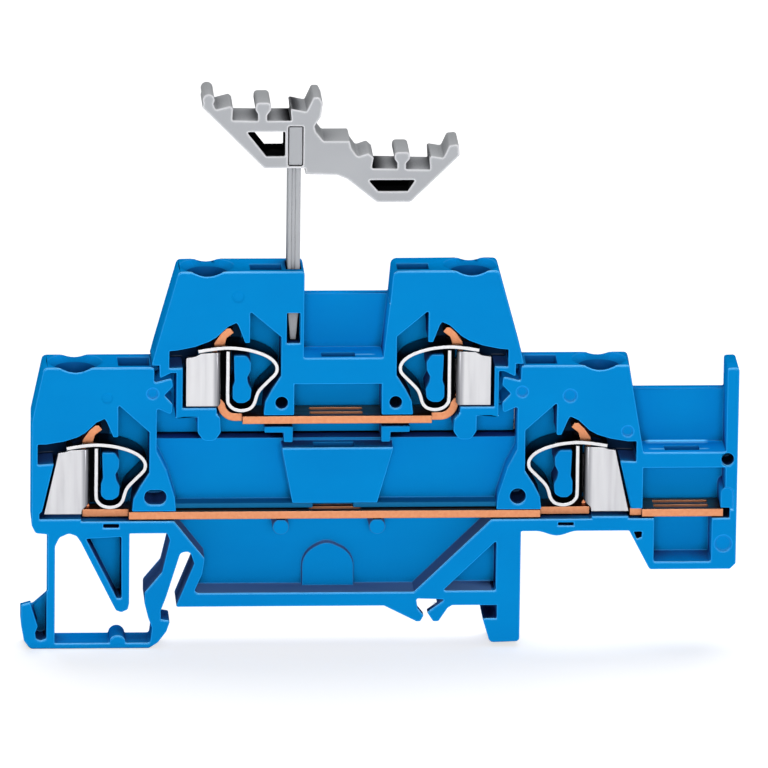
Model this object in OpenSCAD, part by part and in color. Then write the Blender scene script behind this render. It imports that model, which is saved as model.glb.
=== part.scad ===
// Double-level terminal block with four spring clamps, two current bars and a
// plug-in double marker carrier.
// +X runs along the block, +Y through its thickness and +Z up. The open side of
// the block looks towards -Y. The origin is the middle of the 35 mm mounting
// foot, on its seat plane. All lengths are in millimetres.

/* [Housing] */
// Thickness of the block
block_t = 5; // [4.9:0.1:5.2]
// Depth of the clamp chambers, measured from the open side
chamber_d = 4.2; // [4.1:0.05:4.3]
// Depth of the jumper bays and of the well below the extension's contact
bay_d = 3.85; // [3.4:0.05:3.9]
// Depth of the recess between the lower towers
middle_d = 2.6; // [2.4:0.1:2.8]
// Depth of the recess in the base
base_d = 3.3; // [3:0.1:3.6]
// Thickness of the foot's beam and release tab
foot_d = 3.7; // [3.5:0.1:4]
// Thickness of the latch fangs under the base
fang_t = 1.2; // [1:0.1:1.6]
// Height of the lower towers
lower_top = 26.1; // [25.8:0.1:26.2]
// Height of the upper towers
upper_top = 36.4; // [36:0.1:37]

/* [Conductor entries] */
// Radius of the conductor bore
entry_r = 1.8; // [1.6:0.05:1.9]
// Radius of the funnel at the tower's top
funnel_r = 2.85; // [2.7:0.05:3]
// Distance from the spring's leg to the conductor bore
entry_off = 2.2; // [2.1:0.05:2.3]
// Distance of the conductor bore from the middle of the thickness, towards the open side
entry_y = 0.1; // [0:0.05:0.2]
// Width of the slot for the operating tool
tool_w = 3.25; // [2.8:0.05:3.25]

/* [Clamps] */
// Thickness of the spring strip
spring_t = 0.38; // [0.34:0.02:0.44]
// Front edge of the spring strip, from the open side
spring_d0 = 0.3; // [0.25:0.05:0.4]
// Rear edge of the spring strip, from the open side
spring_d1 = 3.9; // [3.7:0.05:4]
// Sheet thickness of the conductor guides
guide_t = 0.3; // [0.25:0.05:0.35]

/* [Current bars] */
// Thickness of the copper
bar_t = 0.84; // [0.8:0.02:0.9]
// Top of the lower current bar
lower_bar_z = 10.36; // [10.3:0.02:10.38]
// Top of the upper current bar
upper_bar_z = 20.7; // [20.6:0.02:20.76]

/* [Marker carrier] */
// Thickness of the carrier
carrier_t = 5; // [4.6:0.1:5]
// Width of the stem
stem_w = 1.3; // [1.2:0.05:1.32]

/* [Hidden] */
$fn = 48;

BLUE = [0.0, 0.45, 0.78];
COPPER = [0.86, 0.53, 0.34];
STEEL = [0.82, 0.82, 0.84];
SILVER = [0.88, 0.88, 0.89];
GREY = [0.69, 0.70, 0.72];

// The two levels mirror about this plane
xm = 0.7;
// Legs of the four springs, and the lowest point of their centre lines
LL = [-24.3, 10.85];
LR = [25.8, 10.85];
UL = [-10.7, 21.3];
UR = [12.3, 21.3];

// ---- helpers -------------------------------------------------------------

// Corner radius of a point [x, z, r]
function cr(p) = len(p) > 2 ? p[2] : 0;
function xy(p) = [p[0], p[1]];
// Arc of radius r that replaces the corner b between a and c
function corner(a, b, c, r, n) =
    let (u = (a - b) / norm(a - b), v = (c - b) / norm(c - b),
         h = acos(max(-1, min(1, u * v))) / 2,
         tl = min(r / tan(h), 0.48 * norm(a - b), 0.48 * norm(c - b)),
         rr = tl * tan(h),
         m = b + (u + v) / norm(u + v) * (rr / sin(h)),
         p0 = b + u * tl - m, p1 = b + v * tl - m,
         a0 = atan2(p0[1], p0[0]), a1 = atan2(p1[1], p1[0]),
         da = (a1 - a0 + 540) % 360 - 180)
    [for (i = [0:n]) m + rr * [cos(a0 + da * i / n), sin(a0 + da * i / n)]];
// Closed outline with its corners rounded
function rounded(p, n = 4) =
    [for (i = [0:len(p) - 1])
        each (cr(p[i]) > 0
              ? corner(xy(p[(i + len(p) - 1) % len(p)]), xy(p[i]), xy(p[(i + 1) % len(p)]), cr(p[i]), n)
              : [xy(p[i])])];
// Outline mirrored about x = m
function flip(p, m) = [for (i = [len(p) - 1:-1:0]) [2 * m - p[i][0], p[i][1], cr(p[i])]];
// Smooth curve through the points p, with k steps between them
function curve(p, k) =
    [for (i = [0:len(p) - 2]) each
        let (a = p[max(i - 1, 0)], b = p[i], c = p[i + 1], d = p[min(i + 2, len(p) - 1)])
        [for (j = [0:(i == len(p) - 2 ? k : k - 1)])
            let (t = j / k)
            0.5 * (2 * b + (c - a) * t + (2 * a - 5 * b + 4 * c - d) * t * t
                   + (3 * b - a - 3 * c + d) * t * t * t)]];
// Left-hand normal of the curve q at point i
function normal(q, i) =
    let (a = q[max(i - 1, 0)], b = q[min(i + 1, len(q) - 1)], t = (b - a) / norm(b - a))
    [-t[1], t[0]];
// Closed outline of a strip of thickness t along the curve q
function strip(q, t) =
    concat([for (i = [0:len(q) - 1]) q[i] + normal(q, i) * t / 2],
           [for (i = [len(q) - 1:-1:0]) q[i] - normal(q, i) * t / 2]);

// Side-view shape between the depths d0 and d1 behind the open side
module slab(d0, d1)
    translate([0, d1 - block_t / 2, 0]) rotate([90, 0, 0]) linear_extrude(height = d1 - d0) children();
module plate(p, d0, d1, n = 4) slab(d0, d1) polygon(rounded(p, n));
module block(x0, x1, z0, z1, d0, d1) plate([[x0, z0], [x1, z0], [x1, z1], [x0, z1]], d0, d1);
// Round pin or hole along Y
module round_y(x, z, r, d0, d1)
    translate([x, d0 - block_t / 2, z]) rotate([-90, 0, 0]) cylinder(r = r, h = d1 - d0);
// Round ejector mark in the open side, h deep, with a rim that slopes in by s
module dish(x, z, r, h = 0.24, s = 0.08)
    translate([x, -block_t / 2, z]) rotate([-90, 0, 0]) cylinder(r1 = r, r2 = r - s, h = h);
// Moves to a clamp; right-hand clamps are mirrored
module at_clamp(c)
    translate([c[0], 0, c[1]]) mirror([c[0] > xm ? 1 : 0, 0, 0]) children();

// ---- clamp chamber, in the clamp's own frame -------------------------------

// Roof, wedge down to its tip, tool chamber up to its apex and rounded wall behind the spring's
// loop; the roof over the conductor lies lower by drop at its outer end
function chamber_roof(drop, tip, apex, side) =
               [[-6.1, 6.95 - drop, 0.1], [-5.2, 6.95 - 0.8 * drop], [-3.4, 7.25 - 0.6 * drop],
                [-2, 7.7 - 0.4 * drop], [-1.2, 8.15 - 0.3 * drop], [0, 9.3 - 0.3 * drop],
                [0.85, 9.7 - 0.3 * drop, 0.15], [1.08, 9.3 - 0.3 * drop], [1.75, tip, 0.12], [2.25, tip, 0.12],
                [2.25, apex, 0.1], [5.5, side, 0.1], [5.5, 3.8, 0.2], [4.55, 2.3, 0.3],
                [3.88, 1, 0.3], [3.75, -0.2]];
// Lower clamps: slanted outer wall beside the guide, open down to the bar
chamber_lower = concat(chamber_roof(0, 7.7, 11.2, 8.2),
                [[3.75, -1.47], [-1.55, -1.47], [-1.55, -1.2], [-5.9, -1.2, 0.1], [-5.9, -0.6, 0.1],
                 [-5.62, -0.35], [-4.42, 4.85], [-6.1, 4.75, 0.1]]);
// Upper clamps: straight outer wall and a floor under the guide
chamber_upper = concat(chamber_roof(0.4, 7.4, 10.8, 8),
                [[3.75, -0.7], [-1.15, -0.7], [-1.15, 0.35], [-4.7, 0.35, 0.1], [-4.7, 4.75],
                 [-6.1, 4.7, 0.1]]);
// Peg inside the spring's loop
peg = [[0.6, 6, 0.15], [1.9, 6, 0.5], [2.4, 5.2, 0.5], [2.35, 4.3, 0.4], [2, 3.6, 0.3], [2.1, 3, 0.3],
       [2.45, 2.3, 0.5], [2.35, 1.2, 0.6], [1.7, 0.85, 0.5], [1, 0.85, 0.4], [0.5, 1.3, 0.5],
       [0.5, 2.6, 0.4], [0.7, 3.2, 0.3], [0.65, 4.4, 0.3]];

module clamp_peg() plate(peg, 0.15, chamber_d + 0.3, 3);

// Everything that a clamp cuts from its tower: chamber, conductor entry and tool slot
module clamp_cuts(c, chamber, top, slot_d) {
    h = top - c[1];
    at_clamp(c) {
        plate(chamber, -1, chamber_d);
        translate([-entry_off, -entry_y, 7]) cylinder(r = entry_r, h = h - 7);
        // funnel: a steep throat below a wide rim
        translate([-entry_off, -entry_y, h - 1.9]) cylinder(r1 = entry_r, r2 = funnel_r - 0.7, h = 1.2);
        translate([-entry_off, -entry_y, h - 0.7]) cylinder(r1 = funnel_r - 0.7, r2 = funnel_r + 0.5, h = 1.2);
        // insulation stop: the bore opens into a wider pocket above the clamp
        block(-entry_off - entry_r - 0.2, -entry_off + entry_r + 0.2, 6.5, 8.95,
              0.65 - entry_y, chamber_d + 0.15 - entry_y);
        block(5.5 - tool_w, 5.5, 8, h + 1, 0.8, slot_d);
    }
}

// ---- lower housing ---------------------------------------------------------

// Inner side of the lower left tower, with the two teeth that hold the upper housing
lower_teeth = [[-18.35, lower_top, 0.3], [-18.35, 24.45, 0.15], [-16.5, 24.95, 0.25], [-16.4, 24, 0.3],
               [-17.3, 23.05, 0.15], [-16.42, 22.1, 0.35], [-16.5, 20.95, 0.25], [-18.05, 21.65, 0.15],
               [-18.05, 17.65]];
// Thin web behind the teeth, which closes the joint at the back
tooth_web = [[-18.5, 20.72], [-16.07, 20.72], [-16.07, 25.4], [-16.6, 25.4], [-17.84, 24.8], [-17.84, 26.2],
             [-18.5, 26.2]];
// Right tower's outer wall, the extension and the underside
lower_right = [[31.1, lower_top, 0.4], [31.75, 22.4], [41.25, 22.4], [41.25, 25.7, 0.25], [42.5, 25.75, 0.35],
               [42.5, 4.4, 0.3], [41.9, 3.8, 0.2], [33.5, 3.8, 0.4], [31.3, 8.05, 0.2],
               each [for (i = [0:12]) [25.9 - 4.3 * i / 12, 8.05 - 0.5 * pow(sin(15 * i), 2)]], [20, 8.05, 0.15]];
// Right foot, latch fangs, base and the slot beside the spring arm
lower_foot_r = [[20, -4, 0.4], [16.9, -4.1, 0.5], [16.1, -1.45, 0.15], [17.6, -1.45, 0.1], [17.6, 0, 0.1],
                [12.9, 0, 0.2], [12.45, -0.3], [11.5, -1.75, 0.2], [10.95, -1.75, 0.2], [10.3, -0.75, 0.1],
                [12.2, 0.65, 0.1], [9.15, 0.75, 0.15], [9.3, -0.3, 0.2], [9.95, -1.1, 0.1],
                [9.6, -1.75, 0.2], [9.2, -1.75, 0.2], [5.8, 0, 0.3]];
// Spring arm with its claw, the lower beam, the release tab and the thin outer bar
lower_foot_l = [[-15.95, 0, 0.15], [-14.05, 4.75, 0.2], [-14.5, 6.1, 0.5], [-15.5, 5.9, 0.5],
                [-16.95, 1.1, 0.4], [-17.5, -0.4, 0.2], [-17.5, -1.35, 0.1], [-16.5, -1.5, 0.2],
                [-16.9, -2.7, 0.8], [-17.8, -3.9, 0.8], [-18.7, -4.5, 0.6], [-31.1, -4.5, 0.6],
                [-31.75, -3.6, 0.5], [-32.05, -1.95, 0.6], [-32.05, 0.35, 0.3], [-30.6, 0.75, 0.5],
                [-29.9, 1.55, 0.4], [-29.3, 1.85, 0.3], [-29.3, 8, 0.1], [-30.6, 8.15, 0.4], [-31, 9, 0.4],
                [-31, 20.3, 1], [-29.8, lower_top, 0.5]];
lower_outline = concat(lower_teeth, flip(lower_teeth, xm), lower_right, lower_foot_r, lower_foot_l);

// Window between the outer bar, the hanging wedge and the spring arm
foot_window = [[-28.55, -3.9, 0.1], [-28.55, 6.7, 0.8], [-28.1, 7.65, 0.6], [-27.1, 8.1, 0.6],
               [-26.3, 7.8, 0.5], [-25.85, 7.1, 0.5], [-22.45, 0.2, 0.4], [-22.15, -0.35, 0.3],
               [-21.6, -0.55, 0.3], [-20.95, -0.25, 0.3], [-20.8, 0.4, 0.3], [-20.8, 8.05, 0.1],
               [-16.9, 8.05, 0.15], [-16.6, 7.3, 0.4], [-17.4, 3.8, 0.8], [-19.2, 1.6, 0.5],
               [-19.2, 0.4, 0.6], [-18.8, -1.2, 0.6], [-18.4, -2.3, 0.6], [-18.6, -3.9, 0.3]];
// Recess between the lower towers
middle_recess = [[-18.05, 19], [-18.05, 17, 0.6], [-17, 14.9, 0.8], [-16.1, 11.9, 0.8], [-15.95, 10],
                 [17.35, 10], [17.5, 11.9, 0.8], [18.4, 14.9, 0.8], [19.45, 17, 0.6], [19.45, 19]];
// Recess in the base
base_recess = [[-16.6, 9.9], [-12.95, 5.25, 0.5], [-13.2, 3.6, 0.4], [-14, 1.75, 0.2], [-13.7, 1.5],
               [8.9, 1.5, 0.15], [17.4, 9.9]];
// Triangle in the right foot's gusset
foot_triangle = [[11.9, 1.6, 0.1], [17.45, 7.05, 0.1], [17.45, 1.6, 0.1]];
// Hollow of the hanging wedge
wedge_hollow = [[-25.35, 7.5, 0.1], [-21.65, 7.7, 0.1], [-21.6, 1, 0.1], [-22.1, 1, 0.1]];
// Pocket of the release tab, open at its top
tab_pocket = [[-31.05, 2.6], [-31.05, 0.33], [-30.32, -2.05, 0.2], [-30.6, -2.75, 0.25], [-30.5, -3.4, 0.25],
              [-30, -3.6, 0.25], [-29.42, -3.4, 0.15], [-29.42, 2.6]];
// Part of the release tab that stays below its front lip
tab_step = [[-34, 3], [-34, -0.62], [-30.75, -0.55], [-29.3, 0.75], [-29.3, 3]];
// Block that guides a jumper down to the lower bar
jumper_block = [[-5.05, 17.3, 0.15], [6.6, 17.3, 0.15], [4.95, 11.3, 0.15], [-3.9, 11.3, 0.15]];
// Arched pad on the base recess
arch_pad = [[-2.7, 1], [-2.7, 5, 2.4], [-0.2, 6.4, 1.8], [2.7, 5, 2.4], [2.7, 1]];

module lower_housing() color(BLUE) {
    difference() {
        union() {
            difference() {
                plate(lower_outline, 0, block_t, 3);
                plate(foot_window, -1, block_t + 1, 3);
                plate(middle_recess, -1, middle_d, 3);
                plate(base_recess, -1, base_d, 3);
                plate(foot_triangle, -1, base_d, 2);
                plate(wedge_hollow, -1, base_d, 2);
                plate(tab_pocket, -1, foot_d - 0.7, 2);
                plate(tab_step, 0.8, block_t + 1);
                // jumper bay of the extension, above and below its bridge, and the well
                plate([[30.6, 28.4], [32.65, 16.6, 0.15], [41.25, 16.6, 0.15], [41.25, 28.4]], -1, bay_d);
                block(32.65, 41.25, 9.9, 14.9, -1, chamber_d);
                plate([[33.9, 4.65, 0.2], [39.9, 4.65, 0.2], [39.9, 9.9], [33.9, 9.9]], -1, bay_d);
                clamp_cuts(LL, chamber_lower, lower_top, 3.9);
                clamp_cuts(LR, chamber_lower, lower_top, 3.9);
            }
            at_clamp(LL) clamp_peg();
            at_clamp(LR) clamp_peg();
            for (m = [0, 1]) translate([m * 2 * xm, 0, 0]) mirror([m, 0, 0])
                plate(tooth_web, chamber_d, block_t);
            // rib over the lower bar, guide block and the rounded stop in the extension
            block(-16.6, 18, 10.46, 11.02, 1, middle_d + 0.4);
            plate(jumper_block, 0, middle_d + 0.4);
            plate([[40.8, 10], [42.1, 10], [42.1, 12.7, 0.6], [40.8, 12.7, 0.6]], 0, chamber_d + 0.4);
            // pad and bosses on the base recess, and the bump on the lower beam
            plate(arch_pad, base_d - 0.8, base_d + 0.4, 6);
            for (x = [-5.05, 5]) round_y(x, 8.6, 0.85, 0.3, base_d + 0.4);
            intersection() {
                round_y(-22, -3.9, 0.85, 0, block_t);
                block(-24, -20, -4.5, -2, 0, block_t);
            }
        }
        // the foot's outer bar, tab and beam are thinner than the block
        block(-34, -28.45, -6, 7.9, foot_d, block_t + 1);
        block(-34, -16, -6, -0.75, foot_d, block_t + 1);
        // the two latch fangs stand on the open side only
        block(5.5, 13.2, -2.5, 0, fang_t, block_t + 1);
        // channel for the lower bar
        block(-25.85, 27.25, 9.38, 10.46, -1, chamber_d);
        block(27.2, 31.3, 9.38, 10.46, 3, chamber_d);
        block(31.2, 41.75, 9.38, 10.46, -1, chamber_d);
        // jumper slots down through the bridge and the guide block
        block(34.95, 38.55, 14, 17.5, 0.9, 2.4);
        block(-1.7, 2.5, 10.4, 18, 0.5, 2.2);
        // blind holes for tools and fixing pins
        plate([[-19.3, 11.2, 0.78], [-17, 11.2, 0.78], [-17, 12.8, 0.78], [-19.3, 12.8, 0.78]], -1, chamber_d, 6);
        round_y(19.6, 11.9, 0.83, -1, chamber_d);
        round_y(41.45, 15.8, 0.65, -1, 3);
        // test slots below the springs, and the notch in the extension's corner
        block(-23.55, -21.9, 8.68, 9.1, -1, 2.2);
        block(23.85, 25.5, 8.65, 9, -1, 2.2);
        plate([[31.75, 7.95, 0.08], [32.65, 7.95, 0.08], [32.6, 7.35, 0.08], [32.1, 7.15, 0.08]], -1, 3, 2);
        // the rounded stop lies a little below the open side
        plate([[40.8, 10.3], [42.1, 10.3], [42.1, 12.7, 0.6], [40.8, 12.7, 0.6]], -1, 0.14);
        // ejector marks
        for (p = [[-18.5, 23.25, 0.6], [19.9, 23.25, 0.6], [24.9, 22.8, 0.7], [30.95, 18.9, 0.6], [41.15, 6.6, 0.9]])
            dish(p[0], p[1], p[2]);
        dish(-23.2, 22.8, 0.65, 0.12, 0.2);
    }
}

// ---- upper housing ---------------------------------------------------------

// Left side of the upper housing, from the top down to its web's lower edge
upper_side = [[-15.9, upper_top, 0.5], [-18.3, 27.7, 0.6], [-18.65, 26.3, 0.12], [-17.8, 26.3],
              [-17.8, 24.9, 0.12], [-16.6, 25.5, 0.2], [-16.05, 25.5, 0.1], [-16.05, 20.65, 0.1],
              [-18, 20.65, 0.1], [-18, 17.75]];
// Outside of the bar's bend with 0.1 mm of room
bar_bend = [[-0.05, -0.5], [3, -0.5], [3, -1.6], [-1.15, -1.6, 2]];
upper_outline = concat(upper_side, flip(upper_side, xm),
                [[6.35, upper_top, 0.6], [6.05, 32.9], [-2.85, 32.9], [-2.85, upper_top, 0.35]]);

module upper_housing() color(BLUE) {
    difference() {
        union() {
            difference() {
                plate(upper_outline, 0, block_t, 3);
                clamp_cuts(UL, chamber_upper, upper_top, 2.9);
                clamp_cuts(UR, chamber_upper, upper_top, 2.9);
                // jumper bay, and the bay between its bridge and the upper bar
                plate([[-2.85, 27.05, 0.15], [5.4, 27.05, 0.15], [6.5, 38], [-2.85, 38]], -1, bay_d);
                block(-3.8, 5.3, 20, 24.2, -1, chamber_d);
                // web below the level of the upper bar
                block(-19, 20.4, 17, 20.65, -1, chamber_d);
                block(-12.3, 13.7, 20, 20.86, -1, chamber_d);
            }
            at_clamp(UL) clamp_peg();
            at_clamp(UR) clamp_peg();
            // brackets that carry the upper bar
            for (m = [0, 1]) translate([m * 2 * xm, 0, 0]) mirror([m, 0, 0]) {
                plate([[-6.85, 19.55], [-3.9, 19.55], [-3.9, 17.85, 0.1], [-4.85, 17.85, 0.1], [-4.85, 18.9],
                       [-6.85, 18.9]], 0.2, chamber_d + 0.3, 2);
                // rounded hanging tab
                plate([[-13.8, 21], [-11.5, 21], [-11.4, 19, 0.5], [-12, 18.1, 0.6], [-13.2, 18.1, 0.6], [-13.8, 19, 0.5]],
                      0, chamber_d + 0.3, 3);
            }
        }
        // room for the bends of the upper bar
        for (c = [UL, UR])
            at_clamp(c) plate(concat([[-1.15, 3], [-0.05, 3]], bar_bend), -1, 3.3, 8);
        // jumper slot down through the bridge
        block(-0.95, 2.5, 23.8, 27.5, 0.6, 2.1);
        // slot for the marker carrier's stem, with its window
        block(-4.7, -3.2, 28.65, 38, 1, 4.4);
        plate([[-4.65, 28.65, 0.1], [-3.25, 28.65, 0.1], [-3.25, 31.9, 0.1], [-4.65, 31.9, 0.1]], -1, 1.2);
        // blind holes beside the upper bar
        for (x = [-5.1, 6.75]) round_y(x, 22.2, 0.65, -1, chamber_d);
        // shallow ejector mark
        dish(-9.7, 33.7, 0.7, 0.12, 0.2);
    }
}

// ---- current bars ----------------------------------------------------------

// End of the lower bar: a tongue under the spring
function tongue_flat(zt, x1) =
    [[-1.41, zt - bar_t, 0.12], [x1, zt - bar_t], [x1, zt], [-1.41, zt, 0.12]];
// End of the upper bar: bent upwards beside the spring
function tongue_bent(zt, x1) =
    concat([[-1.05, 0.95]], corner([-1.05, 9], [-1.05, zt - bar_t], [9, zt - bar_t], 1.9, 8),
           [[x1, zt - bar_t], [x1, zt]],
           corner([9, zt], [bar_t - 1.05, zt], [bar_t - 1.05, 9], 1.9 - bar_t, 8), [[-0.62, 0.95]]);
// Tip of an upright, leaning over the spring
upright_tip = [[-1.5, 6.3], [-1.4, 7.05, 0.15], [-0.72, 8.05, 0.1], [-0.1, 8.62, 0.15], [0.3, 8.62, 0.12],
               [0.66, 8.15, 0.12], [-0.1, 7.55, 0.3], [-0.3, 6.8, 0.2], [-0.62, 6.3]];

// Upright in the clamp's frame: the bar's end, a narrow neck behind the guide from zn upwards,
// and the tip that comes out through the spring's window
module upright(tongue, zn) {
    plate(tongue, 1.3, 3.2, 6);
    plate([[-1.05, zn], [-0.62, zn], [-0.62, zn + 0.3], [-1, zn + 0.9], [-1, 6.4], [-1.55, 6.4], [-1.55, zn + 1.1],
           [-1.05, zn + 0.3]], 2.2, 3.2);
    plate(upright_tip, 1.3, 3.2);
}
// Pair of contact slots for a jumper's prong
module contact_slots(x0, x1, z0, z1) {
    block(x0, x1, z0 - 1, z1 + 1, 0.95, 1.85);
    block(x0, x1, z0 - 1, z1 + 1, 2.45, 3.35);
}

module lower_current_bar() color(COPPER) {
    z1 = lower_bar_z;
    z0 = z1 - bar_t;
    difference() {
        union() {
            at_clamp(LL) upright(tongue_flat(z1 - LL[1], 3.6), z1 - LL[1] - 0.1);
            at_clamp(LR) upright(tongue_flat(z1 - LR[1], 3.9), z1 - LR[1] - 0.1);
            block(-20.9, 22, z0, z1, 0.2, 4);
            block(21.9, 26.3, z0, z1, 1.3, 4);
            block(26.2, 31.5, z0, z1, 3.1, 4);
            block(31.35, 32.7, z0, z1, 0.7, 4);
            block(32.6, 41.1, z0, z1, 0.2, 4);
        }
        contact_slots(-2.1, 3.4, z0, z1);
        contact_slots(33.9, 39.6, z0, z1);
    }
}

module upper_current_bar() color(COPPER) {
    z1 = upper_bar_z;
    z0 = z1 - bar_t;
    difference() {
        union() {
            at_clamp(UL) upright(tongue_bent(z1 - UL[1], 2), 0.55);
            at_clamp(UR) upright(tongue_bent(z1 - UR[1], 2.3), 0.55);
            block(-9.15, 10.55, z0, z1, 0.2, 4);
        }
        contact_slots(-2.1, 3.4, z0, z1);
    }
}

// ---- springs ----------------------------------------------------------------

// Centre line of the spring strip, from its free end over the loop and up the leg
spring_line = [[-3.1, 6.4], [-1.55, 6.65], [0, 6.78], [1.55, 6.65], [2.6, 6.42], [3.6, 6.08], [4.45, 5.6],
               [4.98, 5], [5.1, 4.45], [4.9, 3.9], [4.15, 3.12], [3.3, 2.2], [2.98, 1.5], [2.78, 0.8],
               [2.4, 0.28], [1.85, 0.04], [1.25, 0], [0.6, 0.2], [0.18, 0.62], [0, 1.2], [0, 3.8], [0, 6.42]];

module clamp_spring(c) color(STEEL) at_clamp(c)
    difference() {
        slab(spring_d0, spring_d1) polygon(strip(curve(spring_line, 3), spring_t));
        // window for the conductor and the bar's upright
        block(-2.55, 0.2, 6.48, 8, spring_d0 + 0.5, spring_d1 - 0.5);
        block(-2.55, -0.3, 5.8, 8, spring_d0 + 0.5, spring_d1 - 0.5);
    }
module clamp_spring_lower_left() clamp_spring(LL);
module clamp_spring_lower_right() clamp_spring(LR);
module clamp_spring_upper_left() clamp_spring(UL);
module clamp_spring_upper_right() clamp_spring(UR);

// ---- conductor guides --------------------------------------------------------

guide_lower = [[-3.95, 5.95, 0.12], [-3.25, 6.03, 0.3], [-2.7, 6.24, 0.3], [-0.7, 6.32, 0.1], [-0.7, 0.45, 0.15],
               [-1.45, -0.3, 0.15], [-1.5, -0.75], [-5.42, -0.75]];
guide_upper = [[-4.35, 5.72, 0.12], [-3.4, 5.85, 0.3], [-2.8, 6.2, 0.3], [-0.75, 6.3, 0.1], [-0.75, 0.7, 0.1],
               [-0.95, 0.45, 0.1], [-4.35, 0.45]];

// Folded channel: an outer wall that follows the outline's outer edge between xo0 (foot) and
// xo1 (head), two cheeks, and a rolled edge on each cheek next to the spring
module conductor_guide(c, outline, xo0, xo1) color(SILVER) at_clamp(c)
    intersection() {
        difference() {
            plate(outline, 0.3, 3.9);
            // the rear half stops higher, where the bar runs on below
            block(-7, 0, -2, -0.35, 2.95, 4.2);
            // behind the front cheek the channel ends below the conductor bore
            block(-7, 0, 4.6, 8, 0.8, 4.2);
        }
        union() {
            difference() {
                block(-6, -1.15, -1, 7, 0.3, 3.9);
                plate([[xo0 + guide_t, -2], [0, -2], [0, 8], [xo1 + guide_t, 8]], 0.3 + guide_t, 3.9 - guide_t);
            }
            for (s = [0, 1])
                translate([-1.15, (s == 0 ? 0.75 : 3.45) - block_t / 2, -1])
                    difference() {
                        cylinder(r = 0.45, h = 8);
                        translate([0, 0, -1]) cylinder(r = 0.45 - guide_t, h = 10);
                        translate([-2, -1, -1]) cube([2, 2, 10]);
                        translate([-1, s == 0 ? 0 : -2, -1]) cube([3, 2, 10]);
                    }
        }
    }
module conductor_guide_lower_left() conductor_guide(LL, guide_lower, -5.69, -3.5);
module conductor_guide_lower_right() conductor_guide(LR, guide_lower, -5.69, -3.5);
module conductor_guide_upper_left() conductor_guide(UL, guide_upper, -4.35, -4.35);
module conductor_guide_upper_right() conductor_guide(UR, guide_upper, -4.35, -4.35);

// ---- marker carrier -----------------------------------------------------------

carrier_outline = [[-13.6, 54.05, 0.2], [-13.45, 54.6], [-12.5, 54.5], [-12.2, 53.8, 0.2], [-10.7, 54.2, 0.2], [-10.4, 53.9, 0.15], [-10.5, 52.65, 0.15],
    [-7.85, 52.6, 0.1], [-7.85, 53.3, 0.3], [-8.1, 53.75, 0.25], [-8.1, 54.55, 0.4], [-6.5, 54.55, 0.4],
    [-6.5, 53.75, 0.25], [-6.9, 53.2, 0.3], [-6.9, 52.6, 0.1], [-4.35, 52.6, 0.1], [-4.5, 53.9, 0.15],
    [-2.85, 53.55, 0.2], [-2.15, 55.1, 0.25], [-1.5, 55.1, 0.25], [-1.15, 54.4, 0.3], [-1.35, 53, 0.4],
    [-2, 52, 0.3], [-1.85, 51.4, 0.3], [-1.05, 50.4, 0.2], [1.65, 50.4, 0.15], [1.85, 49.6, 0.3],
    [2.5, 48.7, 0.3], [3.6, 49.1, 0.25], [4.15, 48.6, 0.15], [3.95, 47.45, 0.1],
    [6.6, 47.4, 0.1], [6.6, 48.05, 0.3], [6.3, 48.45, 0.25], [6.3, 49.2, 0.4], [7.9, 49.2, 0.4],
    [7.9, 48.45, 0.25], [7.5, 48, 0.3], [7.5, 47.35, 0.1], [10, 47.3, 0.1], [9.9, 48.8, 0.2],
    [11.35, 48.55, 0.25], [11.95, 49.9, 0.3], [12.95, 50, 0.3], [13.05, 48.8, 0.4],
    [8, 43.8, 0.4], [4.55, 43.8, 0.4], [1.45, 46.3, 0.5], [0.4, 46.75, 0.4], [-2.9, 46.85, 0.1],
    [-2.9, 47.5, 0.1], [-7.15, 47.5, 0.3]];

module marker_carrier() color(GREY) {
    d0 = (block_t - carrier_t) / 2;
    d1 = d0 + carrier_t;
    sx = -3.95;
    difference() {
        union() {
            plate(carrier_outline, d0, d1, 3);
            round_y(-12.95, 54.85, 0.62, d0, d1);
        }
        // bare sunk field on the upright rib
        plate([[-4.7, 47.75, 0.08], [-3.15, 47.75, 0.08], [-3.15, 52, 0.08], [-4.7, 52, 0.08]], -1, d0 + 0.12, 2);
        // windows in the two marker channels
        plate([[-9, 51.4, 0.1], [-5, 51.4, 0.1], [-5, 48.8, 0.1], [-6.95, 48.8, 0.1]], -1, block_t + 1, 2);
        plate([[3.6, 46.2, 0.1], [8.5, 46.2, 0.1], [7.7, 45, 0.1], [4.65, 45, 0.1]], -1, block_t + 1, 2);
    }
    // stem with its tapered tip and a groove down its front
    difference() {
        plate([[sx - stem_w / 2, 48], [sx + stem_w / 2, 48], [sx + stem_w / 2, 32.2], [sx + 0.32, 28.7, 0.1],
               [sx - 0.32, 28.7, 0.1], [sx - stem_w / 2, 32.2]], 1.1, 4.3, 2);
        block(sx - 0.25, sx + 0.12, 33, 47.2, 0, 1.25);
    }
}

lower_housing();
upper_housing();
lower_current_bar();
upper_current_bar();
clamp_spring_lower_left();
clamp_spring_lower_right();
clamp_spring_upper_left();
clamp_spring_upper_right();
conductor_guide_lower_left();
conductor_guide_lower_right();
conductor_guide_upper_left();
conductor_guide_upper_right();
marker_carrier();
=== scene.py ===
import math

import bpy
from mathutils import Matrix, Vector


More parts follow.
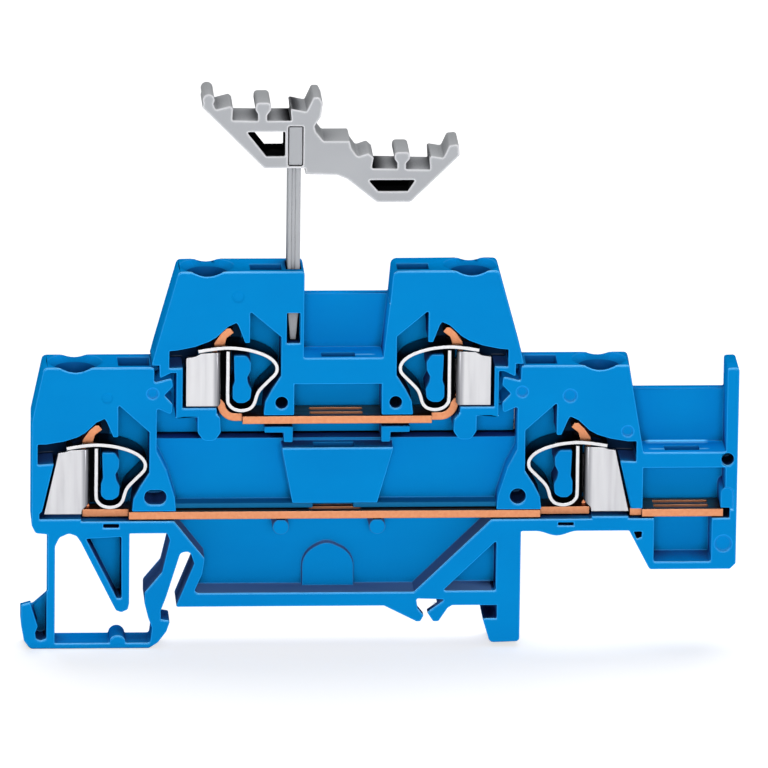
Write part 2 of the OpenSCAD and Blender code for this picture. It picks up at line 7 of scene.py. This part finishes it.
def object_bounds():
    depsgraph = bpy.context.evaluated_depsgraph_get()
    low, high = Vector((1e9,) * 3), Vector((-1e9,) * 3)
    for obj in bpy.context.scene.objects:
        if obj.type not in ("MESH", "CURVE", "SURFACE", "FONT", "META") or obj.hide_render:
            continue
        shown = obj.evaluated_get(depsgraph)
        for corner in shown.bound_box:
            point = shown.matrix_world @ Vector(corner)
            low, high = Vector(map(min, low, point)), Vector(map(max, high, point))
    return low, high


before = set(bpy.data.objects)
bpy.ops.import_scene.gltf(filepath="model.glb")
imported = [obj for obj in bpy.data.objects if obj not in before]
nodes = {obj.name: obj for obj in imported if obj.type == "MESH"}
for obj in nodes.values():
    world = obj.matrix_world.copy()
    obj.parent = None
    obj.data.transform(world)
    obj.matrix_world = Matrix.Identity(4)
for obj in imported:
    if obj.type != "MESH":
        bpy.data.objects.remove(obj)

MM = 0.001
cad_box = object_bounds()
scene = bpy.context.scene


# ---- node helpers ------------------------------------------------------------

def srgb(r, g, b):
    """Linear colour of an sRGB colour given in 0 to 255."""
    def lin(v):
        v /= 255.0
        return v / 12.92 if v <= 0.04045 else ((v + 0.055) / 1.055) ** 2.4
    return (lin(r), lin(g), lin(b), 1.0)


class Mat:
    """A material with a Principled shader and short calls for its nodes."""

    def __init__(self, name, **sockets):
        self.m = bpy.data.materials.new(name)
        self.m.use_nodes = True
        self.t = self.m.node_tree
        self.t.nodes.clear()
        self.out = self.t.nodes.new("ShaderNodeOutputMaterial")
        self.b = self.t.nodes.new("ShaderNodeBsdfPrincipled")
        self.t.links.new(self.b.outputs["BSDF"], self.out.inputs["Surface"])
        self.coord = self.t.nodes.new("ShaderNodeTexCoord").outputs["Object"]
        for k, v in sockets.items():
            self.b.inputs[k.replace("_", " ")].default_value = v

    def put(self, socket, value):
        if hasattr(value, "is_output"):
            self.t.links.new(value, socket)
        else:
            socket.default_value = value

    def node(self, kind, **props):
        n = self.t.nodes.new(kind)
        for k, v in props.items():
            setattr(n, k, v)
        return n

    def stretch(self, x, y, z, rot=(0, 0, 0)):
        """Object coordinates scaled per axis."""
        n = self.node("ShaderNodeMapping")
        self.put(n.inputs["Vector"], self.coord)
        n.inputs["Scale"].default_value = (x, y, z)
        n.inputs["Rotation"].default_value = rot
        return n.outputs["Vector"]

    def noise(self, scale, detail=3.0, rough=0.5, at=None, kind="FBM"):
        n = self.node("ShaderNodeTexNoise")
        self.put(n.inputs["Vector"], self.coord if at is None else at)
        n.inputs["Scale"].default_value = scale
        n.inputs["Detail"].default_value = detail
        n.inputs["Roughness"].default_value = rough
        return n.outputs["Fac"]

    def ramp(self, fac, stops, mode="LINEAR"):
        n = self.node("ShaderNodeValToRGB")
        n.color_ramp.interpolation = mode
        e = n.color_ramp.elements
        while len(e) < len(stops):
            e.new(0.5)
        for i, (p, c) in enumerate(stops):
            e[i].position = p
            e[i].color = c if len(c) == 4 else (*c, 1.0)
        self.put(n.inputs["Fac"], fac)
        return n.outputs["Color"]

    def span(self, value, a, b, c, d, smooth=False):
        """Maps value from a..b to c..d, held at the ends."""
        n = self.node("ShaderNodeMapRange")
        n.interpolation_type = "SMOOTHSTEP" if smooth else "LINEAR"
        self.put(n.inputs["Value"], value)
        for k, v in zip(("From Min", "From Max", "To Min", "To Max"), (a, b, c, d)):
            n.inputs[k].default_value = v
        return n.outputs["Result"]

    def math(self, op, a, b=0.0):
        n = self.node("ShaderNodeMath", operation=op)
        self.put(n.inputs[0], a)
        self.put(n.inputs[1], b)
        return n.outputs[0]

    def mix(self, fac, a, b, blend="MIX"):
        n = self.node("ShaderNodeMix", data_type="RGBA", blend_type=blend)
        self.put(n.inputs[0], fac)
        self.put(n.inputs[6], a)
        self.put(n.inputs[7], b)
        return n.outputs[2]

    def axis(self, source, i):
        n = self.node("ShaderNodeSeparateXYZ")
        self.put(n.inputs[0], source)
        return n.outputs[i]

    def normal(self):
        return self.node("ShaderNodeNewGeometry").outputs["True Normal"]

    def bump(self, height, strength, distance, under=None):
        n = self.node("ShaderNodeBump")
        n.inputs["Strength"].default_value = strength
        n.inputs["Distance"].default_value = distance
        self.put(n.inputs["Height"], height)
        if under is not None:
            self.put(n.inputs["Normal"], under)
        return n.outputs["Normal"]

    def hollow(self, reach, low, high, least=0.0, smooth=False):
        """Runs from least on open faces to 1 deep inside gaps and pockets."""
        n = self.node("ShaderNodeAmbientOcclusion", samples=6)
        n.inputs["Distance"].default_value = reach
        return self.span(n.outputs["AO"], low, high, 1.0, least, smooth)

    def within(self, i, low, high, soft=0.05):
        """1 where coordinate i lies between low and high, in millimetres."""
        off = self.math("ABSOLUTE", self.math("SUBTRACT", self.axis(self.coord, i), (low + high) / 2 * MM))
        return self.span(off, (high - low) / 2 * MM, ((high - low) / 2 + soft) * MM, 1.0, 0.0)

    def in_box(self, x, y, z):
        return self.math("MULTIPLY", self.math("MULTIPLY", self.within(0, *x), self.within(1, *y)), self.within(2, *z))

    def in_bore(self, x, y, r, z):
        """1 inside an upright bore at x, y with the radius r, between the heights z."""
        n = self.node("ShaderNodeVectorMath", operation="DISTANCE")
        self.put(n.inputs[0], self.stretch(1.0, 1.0, 0.0))
        n.inputs[1].default_value = (x * MM, y * MM, 0.0)
        return self.math("MULTIPLY", self.span(n.outputs["Value"], r * MM, (r + 0.06) * MM, 1.0, 0.0), self.within(2, *z))

    def in_disc(self, x, z, r):
        """1 inside a round mark of the open side at x, z with the radius r."""
        n = self.node("ShaderNodeVectorMath", operation="DISTANCE")
        self.put(n.inputs[0], self.stretch(1.0, 0.0, 1.0))
        n.inputs[1].default_value = (x * MM, 0.0, z * MM)
        return self.span(n.outputs["Value"], r * MM, (r + 0.05) * MM, 1.0, 0.0)

    def any_of(self, masks):
        out = masks[0]
        for k in masks[1:]:
            out = self.math("MAXIMUM", out, k)
        return out

    def colour(self, value):
        self.put(self.b.inputs["Base Color"], value)

    def rough(self, value):
        self.put(self.b.inputs["Roughness"], value)

    def gloss(self, level):
        """Specular level that fades out towards grazing angles, as on a fine matt grain."""
        n = self.node("ShaderNodeLayerWeight")
        n.inputs["Blend"].default_value = 0.5
        self.put(self.b.inputs["Specular IOR Level"], self.span(n.outputs["Facing"], 0.25, 0.7, level, 0.0))

    def shape(self, value):
        self.put(self.b.inputs["Normal"], value)


# ---- materials -----------------------------------------------------------------

# conductor bores (x, top) and slots (x, y, top) of the two housings
BORES = [(-26.5, 26.1), (28.0, 26.1), (-12.9, 36.4), (14.5, 36.4)]
SLOTS = [((-22.05, -18.8), (-1.7, 1.4), 26.1), ((20.3, 23.55), (-1.7, 1.4), 26.1),
         ((-8.45, -5.2), (-1.7, 0.4), 36.4), ((6.8, 10.05), (-1.7, 0.4), 36.4),
         ((-0.95, 2.5), (-1.9, -0.4), 27.05), ((34.95, 38.55), (-1.6, -0.1), 16.6), ((-1.7, 2.5), (-2.0, -0.3), 17.3)]
# clamps (x, z, side): the space over the conductor and the space beside the spring's leg
CLAMPS = [(-24.3, 10.85, 1), (25.8, 10.85, -1), (-10.7, 21.3, 1), (12.3, 21.3, -1)]
# floors (x, z) of the two jumper bays, and boxes (x, y, z) for the painted highlights on their rounded corners
FLOORS = [((-2.85, 5.4), 27.05), ((32.65, 41.2), 16.6)]
STREAKS = [((2.6, 4.2), (-1.4, -1.05), 27.05), ((33.7, 34.8), (-1.4, -1.05), 16.6),
           ((38.65, 39.2), (-1.4, -1.05), 16.6), ((33.5, 39.2), (0.75, 1.4), 16.6)]
# shallow round marks (x, z, radius) on the open side
MARKS = [(-18.5, 23.25, 0.6), (19.9, 23.25, 0.6), (24.9, 22.8, 0.7), (30.95, 18.9, 0.6), (41.15, 6.6, 0.9),
         (-23.2, 22.8, 0.65), (-9.7, 33.7, 0.7)]
# windows (x, z) of the marker carrier
WINDOWS = [((-9.1, -4.9), (48.7, 51.5)), ((3.5, 8.6), (44.9, 46.3))]


def beside(x, side, a, b):
    """Range of x between the distances a and b from a clamp's leg."""
    return (min(x + side * a, x + side * b), max(x + side * a, x + side * b))


def moulded(name, low, high, painted_lit_side, edge_highlight, shade, gap_shade, rough0, rough1, gloss, grain, deep=None, joint=None):
    """Injection-moulded plastic: faint flow clouds, a fine spark-eroded grain and uneven gloss.
    Open side faces take the colour painted_lit_side, a painted light for faces that look up or
    sideways; side faces inside recesses take the colour shade and narrow gaps and deep holes the
    colour gap_shade, both painted shade. Where edge_highlight is given, the material is for rounded
    edges: on the open side they are paler, and those that look upward there take its last colour,
    both painted highlights. Bores and slots darken to the colour deep, a painted shade, and the painted
    shade in the joint between the housings is paler than in other gaps. On flat faces of the open side
    a narrow band along the edges is paler too, a painted highlight where the moulding starts to round off."""
    m = Mat(name)
    cloud = m.noise(90.0, 4.0, 0.55)
    flow = m.noise(160.0, 3.0, 0.5, m.stretch(0.35, 1.0, 1.6))
    both = m.math("ADD", m.math("MULTIPLY", cloud, 0.6), m.math("MULTIPLY", flow, 0.4))
    skin = m.ramp(both, [(0.32, low), (0.68, high)])
    way = m.normal()
    side = m.span(m.math("ABSOLUTE", m.axis(way, 1)), 0.5, 0.8, 1.0, 0.0, True)
    # painted light: faces that look up or sideways take a lighter colour than the front
    skin = m.mix(side, skin, painted_lit_side)
    # painted shade on side faces inside recesses
    sunk_shade = m.math("MULTIPLY", side, m.hollow(0.004, 0.35, 0.9, 0.0, True))
    skin = m.mix(sunk_shade, skin, shade)
    if edge_highlight is not None:
        # painted highlight: rounded edges on the open side are paler, most of all where they look upward
        front = m.span(m.axis(m.coord, 1), -0.00238, -0.0023, 1.0, 0.0)
        skin = m.mix(front, skin, m.ramp(both, [(0.32, edge_highlight[0]), (0.68, edge_highlight[1])]))
        up = m.math("MULTIPLY", front, m.span(m.axis(way, 2), 0.3, 0.6, 0.0, 1.0, True))
        if joint is not None:
            marks = m.any_of([m.in_disc(x, z, r + 0.25) for x, z, r in MARKS])
            up = m.math("MULTIPLY", up, m.span(marks, 0.0, 1.0, 1.0, 0.3))
        skin = m.mix(up, skin, edge_highlight[2])
    elif joint is not None:
        # painted highlight in a narrow band along the open side's edges that look upward, left out at the round marks
        round_off = m.node("ShaderNodeBevel", samples=4)
        round_off.inputs["Radius"].default_value = 0.00026
        up = m.math("MULTIPLY", m.span(m.axis(m.coord, 1), -0.00246, -0.00242, 1.0, 0.0),
                    m.span(m.axis(round_off.outputs["Normal"], 2), 0.12, 0.4, 0.0, 1.0, True))
        marks = m.any_of([m.in_disc(x, z, r + 0.25) for x, z, r in MARKS])
        skin = m.mix(m.math("MULTIPLY", up, m.span(marks, 0.0, 1.0, 1.0, 0.0)), skin, srgb(92, 184, 246))
    elif deep is not None:
        # painted highlight along the rounded edges of the open side
        round_off = m.node("ShaderNodeBevel", samples=4)
        round_off.inputs["Radius"].default_value = 0.00038
        rim = m.math("MULTIPLY", m.span(m.axis(m.coord, 1), -0.00246, -0.00242, 1.0, 0.0),
                     m.span(m.math("ABSOLUTE", m.axis(round_off.outputs["Normal"], 1)), 0.88, 0.99, 1.0, 0.0, True))
        skin = m.mix(rim, skin, srgb(204, 205, 209))
    # painted shade in narrow gaps and holes, paler near the joint between the housings
    if joint is not None:
        near = m.math("MULTIPLY", m.any_of([m.within(0, -18.9, -15.9), m.within(0, 17.3, 20.3)]), m.within(2, 19.0, 27.0))
        gap_shade = m.mix(near, gap_shade, joint)
    skin = m.mix(m.hollow(0.0018, 0.14, 0.56, 0.0, True), skin, gap_shade)
    if joint is not None:
        # painted shade inside the bores and slots
        dark = [m.in_bore(x, -0.1, 2.2, (t - 4.4, t - 0.75)) for x, t in BORES]
        dark += [m.in_box(x, y, (t - 2.0, t - 0.14)) for x, y, t in SLOTS]
        skin = m.mix(m.any_of(dark), skin, deep)
        # painted shade on the side faces of the recesses under the lower bar, a little lighter on those that look up
        walls = m.math("MULTIPLY", side, m.in_box((-19.5, 17.0), (-2.3, 2.0), (-0.2, 9.3)))
        level = m.span(m.axis(way, 2), 0.75, 0.95, 0.0, 1.0)
        skin = m.mix(walls, skin, m.mix(level, srgb(60, 90, 138), srgb(80, 114, 162)))
        # painted shade on the rib over the lower bar
        skin = m.mix(m.in_box((-16.6, 18.0), (-1.6, 1.5), (10.46, 11.02)), skin, srgb(16, 98, 146))
        # painted light: the up-facing floors of the two jumper bays are lighter
        floors = m.any_of([m.in_box(x, (-2.4, 1.4), (z - 0.05, z + 0.07)) for x, z in FLOORS])
        skin = m.mix(m.math("MULTIPLY", floors, m.span(m.axis(way, 2), 0.7, 0.9, 0.0, 1.0)), skin, srgb(6, 150, 230))
        # painted highlights on the rounded corners of the bay floors
        streaks = [m.math("MULTIPLY", m.within(0, *x, 0.5), m.in_box((-50, 50), y, (z - 0.05, z + 0.14))) for x, y, z in STREAKS]
        skin = m.mix(m.any_of(streaks), skin, srgb(100, 200, 252))
        # painted shade, dark navy, in the upper part of each clamp chamber over the conductor
        roof_shade = [m.in_box(beside(x, k, -6.2, -0.6), (-2.2, 1.8), (z + 5.4, z + 8.6)) for x, z, k in CLAMPS]
        roof_shade += [m.in_box(beside(x, k, -6.3, -3.0), (1.4, 1.8), (z + 4.0, z + 5.45)) for x, z, k in CLAMPS]
        skin = m.mix(m.any_of(roof_shade), skin, srgb(6, 28, 54))
        # painted shade, dark navy, at the top of each clamp chamber beside the spring's leg
        peak_shade = [m.in_box(beside(x, k, -0.6, 1.5), (-2.2, 1.8), (z + 6.8, z + 9.8)) for x, z, k in CLAMPS]
        skin = m.mix(m.any_of(peak_shade), skin, srgb(6, 34, 58))
        # painted shade, near black, on the back wall beside the spring's leg
        leg = [m.in_box(beside(x, k, -0.8, 0.5), (1.2, 1.8), (z - 0.6, z + 6.5)) for x, z, k in CLAMPS]
        skin = m.mix(m.any_of(leg), skin, srgb(5, 7, 10))
    elif deep is not None:
        # painted shade: the inside of the carrier's windows is near black
        skin = m.mix(m.any_of([m.in_box(x, (-2.32, 3.0), z) for x, z in WINDOWS]), skin, deep)
    m.colour(skin)
    m.rough(m.span(m.noise(420.0, 3.0), 0.3, 0.7, rough0, rough1))
    m.gloss(gloss)
    fine = m.bump(m.noise(14000.0, 2.0, 0.6), grain, 0.00002)
    m.shape(m.bump(m.noise(700.0, 2.0), 0.05, 0.00008, fine))
    return m.m


# the third colour is a painted light for faces that look up or sideways
BLUE = (srgb(0, 113, 178), srgb(0, 120, 184), srgb(0, 142, 221))
# painted shade inside bores and slots, and the paler painted shade of the joint between the housings
HOLE_SHADE, JOINT_GAP_SHADE = srgb(10, 93, 160), srgb(0, 116, 188)
# in both blue materials the two dark colours are painted shade in recesses and in narrow gaps
blue = moulded("blue_plastic", *BLUE, None, srgb(36, 62, 118), srgb(0, 12, 26), 0.44, 0.56, 0.015, 0.10, HOLE_SHADE, JOINT_GAP_SHADE)
# the three edge colours are painted highlights on the rounded edges
blue_edge = moulded("blue_plastic_edge", *BLUE, (srgb(0, 128, 200), srgb(12, 136, 208), srgb(120, 204, 255)),
                    srgb(36, 62, 118), srgb(0, 16, 34), 0.36, 0.44, 0.12, 0.04, HOLE_SHADE, JOINT_GAP_SHADE)
# the third colour is a painted light for faces that look up or sideways
GREY = (srgb(150, 152, 156), srgb(159, 161, 165), srgb(176, 178, 181))
# in both grey materials the two dark colours are painted shade in recesses and in narrow gaps, and the last colour is
# painted shade inside the carrier's windows
grey = moulded("grey_plastic", *GREY, None, srgb(108, 109, 113), srgb(30, 30, 33), 0.44, 0.56, 0.06, 0.10, srgb(7, 7, 9))
# the three edge colours are painted highlights on the rounded edges
grey_edge = moulded("grey_plastic_edge", *GREY, (srgb(190, 191, 195), srgb(200, 201, 204), srgb(214, 215, 218)),
                    srgb(116, 117, 121), srgb(34, 34, 37), 0.36, 0.44, 0.14, 0.04, srgb(7, 7, 9))


def sheared(name, edge_low, edge_high, face_low, face_high, gap_shade, edge_rough, face_rough, rear=None):
    """Strip punched from sheet: bright sheared edges towards -Y and +Y, darker rolled faces; on the spring
    the near-black faces are painted shade and painted reflection. Behind the depth rear (y in millimetres) the edges
    are as dark as the faces, a painted shade, and narrow gaps take the colour gap_shade, a painted shade."""
    m = Mat(name, Metallic=1.0)
    cut = m.span(m.math("ABSOLUTE", m.axis(m.normal(), 1)), 0.55, 0.8, 0.0, 1.0, True)
    if rear is not None:
        cut = m.math("MULTIPLY", cut, m.span(m.axis(m.coord, 1), (rear - 0.05) * MM, rear * MM, 1.0, 0.0))
    streak = m.noise(900.0, 3.0, 0.6, m.stretch(0.25, 3.0, 0.25))
    grainy = m.noise(2600.0, 3.0, 0.6)
    edge = m.ramp(grainy, [(0.3, edge_low), (0.7, edge_high)])
    face = m.ramp(streak, [(0.3, face_low), (0.7, face_high)])
    # painted shade in narrow gaps
    m.colour(m.mix(m.hollow(0.0016, 0.05, 0.42, 0.0, True), m.mix(cut, face, edge), gap_shade))
    m.rough(m.span(cut, 0.0, 1.0, face_rough, edge_rough))
    m.shape(m.bump(m.math("ADD", streak, grainy), 0.08, 0.00003))
    return m.m


copper = sheared("copper", srgb(174, 112, 79), srgb(183, 125, 90), srgb(142, 84, 58), srgb(176, 110, 78),
                 srgb(46, 22, 14), 0.45, 0.4)
copper_rim = sheared("copper_rim", srgb(182, 124, 92), srgb(190, 138, 108), srgb(158, 98, 66), srgb(190, 122, 86),
                     srgb(52, 26, 16), 0.4, 0.36)
# on the spring the near-black face colours are painted shade and painted reflection, and behind y = -1.9 mm the edges
# take them too, a painted shade
steel = sheared("spring_steel", srgb(176, 176, 178), srgb(186, 186, 188), srgb(10, 10, 12), srgb(20, 20, 24),
                srgb(4, 4, 5), 0.4, 0.45, -1.9)
steel_rim = sheared("spring_steel_rim", srgb(160, 160, 163), srgb(172, 172, 174), srgb(18, 18, 21), srgb(30, 30, 34),
                    srgb(6, 6, 8), 0.35, 0.4, -1.9)


def plated(name):
    """Bright plated sheet with soft streaks along the draw direction, darker where it is folded over and along the
    rolled edge beside each clamp's leg, a painted shade; narrow gaps take a near-black painted shade.
    """
    m = Mat(name, Metallic=1.0)
    streak = m.noise(2200.0, 3.0, 0.55, m.stretch(1.0, 1.0, 0.05))
    broad = m.noise(700.0, 2.0, 0.5, m.stretch(1.0, 1.0, 0.08))
    both = m.math("ADD", m.math("MULTIPLY", streak, 0.4), m.math("MULTIPLY", broad, 0.6))
    skin = m.ramp(both, [(0.3, srgb(158, 157, 161)), (0.5, srgb(169, 169, 172)), (0.68, srgb(175, 175, 177))])
    # painted shade on faces that look along x, where the sheet is bent
    fold_shade = m.span(m.math("ABSOLUTE", m.axis(m.normal(), 0)), 0.15, 0.8, 0.0, 1.0)
    skin = m.mix(fold_shade, skin, srgb(104, 104, 108))
    # painted shade along the rolled edge beside each clamp's leg
    roll_shade = [m.math("MULTIPLY", m.within(0, *beside(x, k, -1.3, -0.5), 0.3), m.within(2, z - 0.8, z + 6.5)) for x, z, k in CLAMPS]
    skin = m.mix(m.math("MULTIPLY", m.any_of(roll_shade), 0.75), skin, srgb(112, 112, 117))
    # painted shade in narrow gaps
    m.colour(m.mix(m.hollow(0.003, 0.2, 0.5, 0.0, True), skin, srgb(8, 8, 10)))
    m.rough(m.span(streak, 0.3, 0.7, 0.32, 0.44))
    m.shape(m.bump(streak, 0.06, 0.00003))
    return m.m


silver = plated("plated_sheet")


# ---- finished meshes: clean faces, rounded edges --------------------------------

def clean_group():
    """Joins the split points of a node, and clears its flat shading."""
    g = bpy.data.node_groups.new("clean_faces", "GeometryNodeTree")
    g.interface.new_socket("Geometry", in_out="INPUT", socket_type="NodeSocketGeometry")
    g.interface.new_socket("Geometry", in_out="OUTPUT", socket_type="NodeSocketGeometry")
    a, z = g.nodes.new("NodeGroupInput"), g.nodes.new("NodeGroupOutput")
    weld = g.nodes.new("GeometryNodeMergeByDistance")
    weld.inputs["Distance"].default_value = 2e-5
    drop = g.nodes.new("GeometryNodeRemoveAttribute")
    drop.inputs["Name"].default_value = "custom_normal"
    soft = g.nodes.new("GeometryNodeSetShadeSmooth")
    soft.domain = "FACE"
    soft2 = g.nodes.new("GeometryNodeSetShadeSmooth")
    soft2.domain = "EDGE"
    chain = [a, weld, drop, soft, soft2, z]
    for p, q in zip(chain, chain[1:]):
        g.links.new(p.outputs[0], q.inputs[0])
    return g


def inside_group():
    """Holds every point between the block's two faces, and shades faces that look along the
    thickness flat, so that only the rounded edges and bends between them are smooth."""
    g = bpy.data.node_groups.new("inside_faces", "GeometryNodeTree")
    g.interface.new_socket("Geometry", in_out="INPUT", socket_type="NodeSocketGeometry")
    g.interface.new_socket("Geometry", in_out="OUTPUT", socket_type="NodeSocketGeometry")
    a, z = g.nodes.new("NodeGroupInput"), g.nodes.new("NodeGroupOutput")
    here = g.nodes.new("GeometryNodeInputPosition")
    low = g.nodes.new("ShaderNodeVectorMath")
    low.operation = "MAXIMUM"
    low.inputs[1].default_value = (-1.0, cad_box[0].y, -1.0)
    high = g.nodes.new("ShaderNodeVectorMath")
    high.operation = "MINIMUM"
    high.inputs[1].default_value = (1.0, cad_box[1].y, 1.0)
    move = g.nodes.new("GeometryNodeSetPosition")
    g.links.new(a.outputs[0], move.inputs["Geometry"])
    g.links.new(here.outputs[0], low.inputs[0])
    g.links.new(low.outputs[0], high.inputs[0])
    g.links.new(high.outputs[0], move.inputs["Position"])
    way = g.nodes.new("GeometryNodeInputNormal")
    parts = g.nodes.new("ShaderNodeSeparateXYZ")
    size = g.nodes.new("ShaderNodeMath")
    size.operation = "ABSOLUTE"
    bent = g.nodes.new("FunctionNodeCompare")
    bent.data_type = "FLOAT"
    bent.operation = "LESS_THAN"
    bent.inputs[1].default_value = 0.9995
    flat = g.nodes.new("GeometryNodeSetShadeSmooth")
    flat.domain = "FACE"
    g.links.new(way.outputs[0], parts.inputs[0])
    g.links.new(parts.outputs[1], size.inputs[0])
    g.links.new(size.outputs[0], bent.inputs[0])
    g.links.new(bent.outputs[0], flat.inputs["Shade Smooth"])
    g.links.new(move.outputs[0], flat.inputs[0])
    g.links.new(flat.outputs[0], z.inputs[0])
    return g


CLEAN = clean_group()
INSIDE = inside_group()


def finish_node(name, main, rim, width, segments=2, angle=32.0):
    o = nodes[name]
    o.data.materials.clear()
    o.data.materials.append(main)
    o.data.materials.append(rim)
    o.modifiers.new("clean", "NODES").node_group = CLEAN
    edge = o.modifiers.new("edge", "BEVEL")
    edge.width = width * MM
    edge.segments = segments
    edge.limit_method = "ANGLE"
    edge.angle_limit = math.radians(angle)
    edge.use_clamp_overlap = False
    edge.loop_slide = False
    edge.material = 1
    edge.miter_outer = "MITER_SHARP"
    o.modifiers.new("inside", "NODES").node_group = INSIDE
    return o


for n in nodes:
    if n.endswith("housing"):
        finish_node(n, blue, blue_edge, 0.11)
    elif n.endswith("bar"):
        finish_node(n, copper, copper_rim, 0.05)
    elif n.startswith("clamp_spring"):
        finish_node(n, steel, steel_rim, 0.04)
    elif n.startswith("conductor_guide"):
        finish_node(n, silver, silver, 0.05)
    else:
        finish_node(n, grey, grey_edge, 0.12)


# ---- floor, light and camera ------------------------------------------------------

floor_z = cad_box[0].z
bpy.ops.mesh.primitive_plane_add(size=8.0, location=(0, 0, floor_z - 0.00002))
floor = bpy.context.object
floor.name = "floor"
pale = Mat("pale_floor", Specular_IOR_Level=0.05, Emission_Strength=0.62)
pale.b.inputs["Emission Color"].default_value = (1.0, 1.0, 1.0, 1.0)
pale.colour(pale.ramp(pale.noise(6.0, 2.0), [(0.3, (0.70, 0.70, 0.70)), (0.7, (0.72, 0.72, 0.72))]))
pale.rough(0.8)
floor.data.materials.append(pale.m)

# studio: even white, falling off towards the left
world = bpy.data.worlds.new("studio")
scene.world = world
world.use_nodes = True
wt = world.node_tree
sky = wt.nodes["Background"]
sky.inputs["Color"].default_value = (1, 1, 1, 1)
w_dir = wt.nodes.new("ShaderNodeTexCoord")
w_xyz = wt.nodes.new("ShaderNodeSeparateXYZ")
w_side = wt.nodes.new("ShaderNodeMapRange")
w_side.interpolation_type = "SMOOTHSTEP"
for k, v in zip(("From Min", "From Max", "To Min", "To Max"), (-0.95, 0.1, 0.17, 0.25)):
    w_side.inputs[k].default_value = v
wt.links.new(w_dir.outputs["Generated"], w_xyz.inputs[0])
wt.links.new(w_xyz.outputs[0], w_side.inputs["Value"])
wt.links.new(w_side.outputs["Result"], sky.inputs["Strength"])

aim = Vector((5.5, 0.0, 22.0)) * MM


def softbox(name, place, size, watts):
    d = bpy.data.lights.new(name, "AREA")
    d.shape = "RECTANGLE"
    d.size, d.size_y = size
    d.energy = watts
    o = bpy.data.objects.new(name, d)
    scene.collection.objects.link(o)
    o.location = Vector(place)
    o.rotation_euler = (aim - o.location).to_track_quat("-Z", "Y").to_euler()
    return o


softbox("key", (0.0, -1.05, 0.2), (0.5, 0.4), 8.6)
softbox("top", (0.05, 0.35, 0.85), (0.7, 0.5), 4.2)

AZ, EL, ROLL = math.radians(-3.5), math.radians(17.0), math.radians(0.72)
LENS, WIDE = 600.0, 79.67 * MM
target = Vector((5.5, -2.5, 24.2)) * MM
back = Vector((math.sin(AZ) * math.cos(EL), -math.cos(AZ) * math.cos(EL), math.sin(EL)))
cam_data = bpy.data.cameras.new("camera")
cam_data.lens = LENS
cam_data.sensor_width = 36.0
cam_data.clip_start, cam_data.clip_end = 0.01, 20.0
cam = bpy.data.objects.new("camera", cam_data)
scene.collection.objects.link(cam)
cam.location = target + back * (WIDE * LENS / 36.0)
cam.rotation_euler = ((-back).to_track_quat("-Z", "Y").to_matrix() @ Matrix.Rotation(ROLL, 3, "Z")).to_euler()
scene.camera = cam

scene.view_settings.view_transform = "Standard"
scene.view_settings.look = "None"
